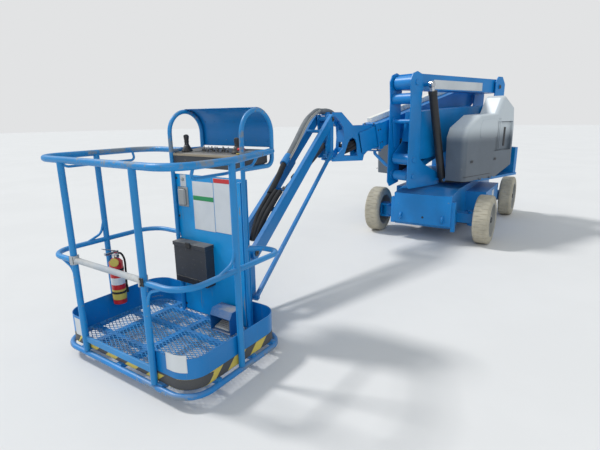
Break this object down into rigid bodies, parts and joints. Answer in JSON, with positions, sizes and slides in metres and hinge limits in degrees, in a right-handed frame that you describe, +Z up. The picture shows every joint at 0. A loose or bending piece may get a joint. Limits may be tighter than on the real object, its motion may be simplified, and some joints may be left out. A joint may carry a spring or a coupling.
{
  "type": "articulating boom lift",
  "caption": "Narrow self-propelled articulating boom lift: slewing turntable, folding riser arms, telescopic boom, jib and railed work platform.",
  "frame": {"origin": "middle of the whole machine's footprint, at ground level", "axes": "+X along the chassis to the end over which the boom points, +Y to the machine's left, +Z up"},
  "size_m": [6.0273, 1.9894, 1.93],
  "materials": {
    "blue_paint": "gloss enamel, worn and dusty",
    "tyre_rubber": "non-marking light tan rubber, scuffed",
    "rim_paint": "satin grey",
    "hood_grey": "moulded grey covers",
    "black_paint": "satin black",
    "chrome_rod": "polished hard chrome",
    "battery_case": "matte",
    "dark_plastic": "textured",
    "red_paint": "gloss enamel",
    "dark_steel": "oiled steel"
  },
  "bodies": {
    "chassis": {"chassis_frame": "blue_paint", "slew_bearing": "dark_steel", "front_axle": "blue_paint", "rear_axle": "blue_paint"},
    "knuckle_left": {"knuckle_left": "blue_paint"},
    "knuckle_right": {"knuckle_right": "blue_paint"},
    "tie_rod": {"tie_rod": "dark_steel"},
    "turntable": {"turntable_deck": "blue_paint", "riser_post": "blue_paint", "counterweight": "blue_paint", "battery_packs": "battery_case"},
    "hood_left": {"hood_left": "hood_grey"},
    "hood_right": {"hood_right": "hood_grey"},
    "lower_arm": {"lower_arm": "blue_paint"},
    "lower_link": {"lower_link": "blue_paint"},
    "mid_pivot": {"mid_pivot": "blue_paint"},
    "upper_arm": {"upper_arm": "blue_paint"},
    "riser_barrel": {"riser_cylinder_barrel": "black_paint"},
    "riser_rod": {"riser_cylinder_rod": "chrome_rod"},
    "riser_head": {"riser_head": "blue_paint"},
    "boom": {"boom_outer": "blue_paint"},
    "boom_barrel": {"boom_cylinder_barrel": "black_paint"},
    "boom_rod": {"boom_cylinder_rod": "chrome_rod"},
    "boom_extension": {"boom_inner": "blue_paint", "boom_nose": "blue_paint"},
    "jib_rotator": {"jib_rotator": "blue_paint"},
    "jib": {"jib_beams": "blue_paint"},
    "jib_link": {"jib_link": "blue_paint"},
    "jib_barrel": {"jib_cylinder_barrel": "black_paint"},
    "jib_rod": {"jib_cylinder_rod": "chrome_rod"},
    "platform_mount": {"platform_mount": "blue_paint"},
    "platform": {"platform_base": "blue_paint", "platform_floor": "blue_paint", "platform_rails": "blue_paint", "console_panel": "blue_paint", "console_guard": "blue_paint", "control_console": "dark_plastic", "manual_box": "dark_plastic", "foot_switch": "dark_plastic", "extinguisher": "red_paint"},
    "entry_bar": {"entry_bar": "blue_paint"},
    "wheel_front_left": {"tyre_front_left": "tyre_rubber", "rim_front_left": "rim_paint"},
    "wheel_front_right": {"tyre_front_right": "tyre_rubber", "rim_front_right": "rim_paint"},
    "wheel_rear_left": {"tyre_rear_left": "tyre_rubber", "rim_rear_left": "rim_paint"},
    "wheel_rear_right": {"tyre_rear_right": "tyre_rubber", "rim_rear_right": "rim_paint"}
  },
  "joints": [
    {"name": "slew", "type": "hinge", "parent": "chassis", "child": "turntable", "pos_m": [-1.801, 0.208, 0.63], "axis": [0, 0, 1], "range_deg": [-158.5, 196.5]},
    {"name": "steer_left", "type": "hinge", "parent": "chassis", "child": "knuckle_left", "pos_m": [-0.926, 0.728, 0.2795], "axis": [0, 0, 1], "range_deg": [-35, 35]},
    {"name": "steer_right", "type": "hinge", "parent": "chassis", "child": "knuckle_right", "pos_m": [-0.926, -0.312, 0.2795], "axis": [0, 0, 1], "range_deg": [-35, 35]},
    {"name": "tie_rod_slide", "type": "slide", "parent": "chassis", "child": "tie_rod", "axis": [0, -1, 0], "range_m": [-0.07, 0.07]},
    {"name": "wheel_spin_front_left", "type": "hinge", "parent": "knuckle_left", "child": "wheel_front_left", "pos_m": [-0.926, 0.853, 0.2795], "axis": [0, 1, 0], "continuous": true},
    {"name": "wheel_spin_front_right", "type": "hinge", "parent": "knuckle_right", "child": "wheel_front_right", "pos_m": [-0.926, -0.437, 0.2795], "axis": [0, 1, 0], "continuous": true},
    {"name": "wheel_spin_rear_left", "type": "hinge", "parent": "chassis", "child": "wheel_rear_left", "pos_m": [-2.676, 0.853, 0.2795], "axis": [0, 1, 0], "continuous": true},
    {"name": "wheel_spin_rear_right", "type": "hinge", "parent": "chassis", "child": "wheel_rear_right", "pos_m": [-2.676, -0.437, 0.2795], "axis": [0, 1, 0], "continuous": true},
    {"name": "hood_left_hinge", "type": "hinge", "parent": "turntable", "child": "hood_left", "pos_m": [-1.58359, 0.83942, 0.697], "axis": [-0.9455, 0.3256, 0], "range_deg": [0, 75]},
    {"name": "hood_right_hinge", "type": "hinge", "parent": "turntable", "child": "hood_right", "pos_m": [-2.01841, -0.42342, 0.697], "axis": [0.9455, -0.3256, 0], "range_deg": [0, 75]},
    {"name": "riser_lift", "type": "hinge", "parent": "turntable", "child": "lower_arm", "pos_m": [-2.09286, 0.43541, 1.47], "axis": [-0.3256, -0.9455, 0], "range_deg": [0, 75]},
    {"name": "lower_link_hinge", "type": "hinge", "parent": "turntable", "child": "lower_link", "pos_m": [-2.09286, 0.43541, 1.28], "axis": [-0.3256, -0.9455, 0], "range_deg": [0, 75]},
    {"name": "mid_pivot_hinge", "type": "hinge", "parent": "lower_arm", "child": "mid_pivot", "pos_m": [-0.67459, -0.05294, 0.95], "axis": [-0.3256, -0.9455, 0], "range_deg": [-75, 0]},
    {"name": "upper_arm_hinge", "type": "hinge", "parent": "mid_pivot", "child": "upper_arm", "pos_m": [-0.67459, -0.05294, 1.8], "axis": [-0.3256, -0.9455, 0], "range_deg": [-75, 0]},
    {"name": "riser_head_hinge", "type": "hinge", "parent": "upper_arm", "child": "riser_head", "pos_m": [-2.34815, 0.52331, 1.8], "axis": [-0.3256, -0.9455, 0], "range_deg": [0, 75]},
    {"name": "riser_barrel_hinge", "type": "hinge", "parent": "mid_pivot", "child": "riser_barrel", "pos_m": [-1.06127, 0.30759, 0.686], "axis": [-0.3256, -0.9455, 0], "range_deg": [-0.9175, 0]},
    {"name": "riser_rod_slide", "type": "slide", "parent": "riser_barrel", "child": "riser_rod", "axis": [0.2574, -0.0886, 0.9622], "range_m": [0, 0.2179]},
    {"name": "boom_lift", "type": "hinge", "parent": "riser_head", "child": "boom", "pos_m": [-2.47419, 0.24943, 1.8], "axis": [-0.3256, -0.9455, 0], "range_deg": [0, 75]},
    {"name": "boom_barrel_hinge", "type": "hinge", "parent": "boom", "child": "boom_barrel", "pos_m": [-1.61787, -0.04543, 1.30264], "axis": [-0.3256, -0.9455, 0], "range_deg": [0, 3.6]},
    {"name": "boom_rod_slide", "type": "slide", "parent": "boom_barrel", "child": "boom_rod", "axis": [-0.9231, 0.3179, 0.2162], "range_m": [0, 0.4479]},
    {"name": "boom_extend", "type": "slide", "parent": "boom", "child": "boom_extension", "axis": [0.9166, -0.3156, -0.2453], "range_m": [0, 1.2]},
    {"name": "jib_rotate", "type": "hinge", "parent": "boom_extension", "child": "jib_rotator", "pos_m": [0.09762, -0.63612, 1.23], "axis": [0, 0, 1], "range_deg": [-117.8, 62.2]},
    {"name": "jib_lift", "type": "hinge", "parent": "jib_rotator", "child": "jib", "pos_m": [0.21621, -0.61776, 1.42], "axis": [0.153, -0.9882, 0], "range_deg": [-39, 99]},
    {"name": "jib_link_hinge", "type": "hinge", "parent": "jib_rotator", "child": "jib_link", "pos_m": [0.2032, -0.53376, 1.06], "axis": [0.153, -0.9882, 0], "range_deg": [-39, 99]},
    {"name": "platform_level", "type": "hinge", "parent": "jib", "child": "platform_mount", "pos_m": [1.87028, -0.3617, 0.46916], "axis": [0.153, -0.9882, 0], "range_deg": [-99, 39]},
    {"name": "jib_barrel_hinge", "type": "hinge", "parent": "jib_rotator", "child": "jib_barrel", "pos_m": [0.23597, -0.6147, 1.15], "axis": [0.153, -0.9882, 0], "range_deg": [-37.85, 96.06]},
    {"name": "jib_rod_slide", "type": "slide", "parent": "jib_barrel", "child": "jib_rod", "axis": [0.9323, 0.1443, -0.3317], "range_m": [-0.1633, 0.4129]},
    {"name": "platform_rotate", "type": "hinge", "parent": "platform_mount", "child": "platform", "pos_m": [2.05429, -0.33321, 0.3], "axis": [0, 0, 1], "range_deg": [-79.83, 100.17]},
    {"name": "entry_bar_slide", "type": "slide", "parent": "platform", "child": "entry_bar", "axis": [0, 0, 1], "range_m": [0, 0.4]}
  ],
  "couplings": [
    {"joint": "steer_right", "follows": "steer_left", "ratio": 1},
    {"joint": "tie_rod_slide", "follows": "steer_left", "m_per_rad": 0.1127},
    {"joint": "lower_link_hinge", "follows": "riser_lift", "ratio": 1},
    {"joint": "mid_pivot_hinge", "follows": "riser_lift", "ratio": -1},
    {"joint": "upper_arm_hinge", "follows": "riser_lift", "ratio": -1},
    {"joint": "riser_head_hinge", "follows": "riser_lift", "ratio": 1},
    {"joint": "riser_barrel_hinge", "follows": "riser_lift", "ratio": -0.0121},
    {"joint": "riser_rod_slide", "follows": "riser_lift", "m_per_rad": 0.1657},
    {"joint": "boom_barrel_hinge", "follows": "boom_lift", "ratio": 0.0479},
    {"joint": "boom_rod_slide", "follows": "boom_lift", "m_per_rad": 0.3414},
    {"joint": "jib_link_hinge", "follows": "jib_lift", "ratio": 1},
    {"joint": "platform_level", "follows": "jib_lift", "ratio": -1},
    {"joint": "jib_barrel_hinge", "follows": "jib_lift", "ratio": 0.9702},
    {"joint": "jib_rod_slide", "follows": "jib_lift", "m_per_rad": 0.2384}
  ]
}
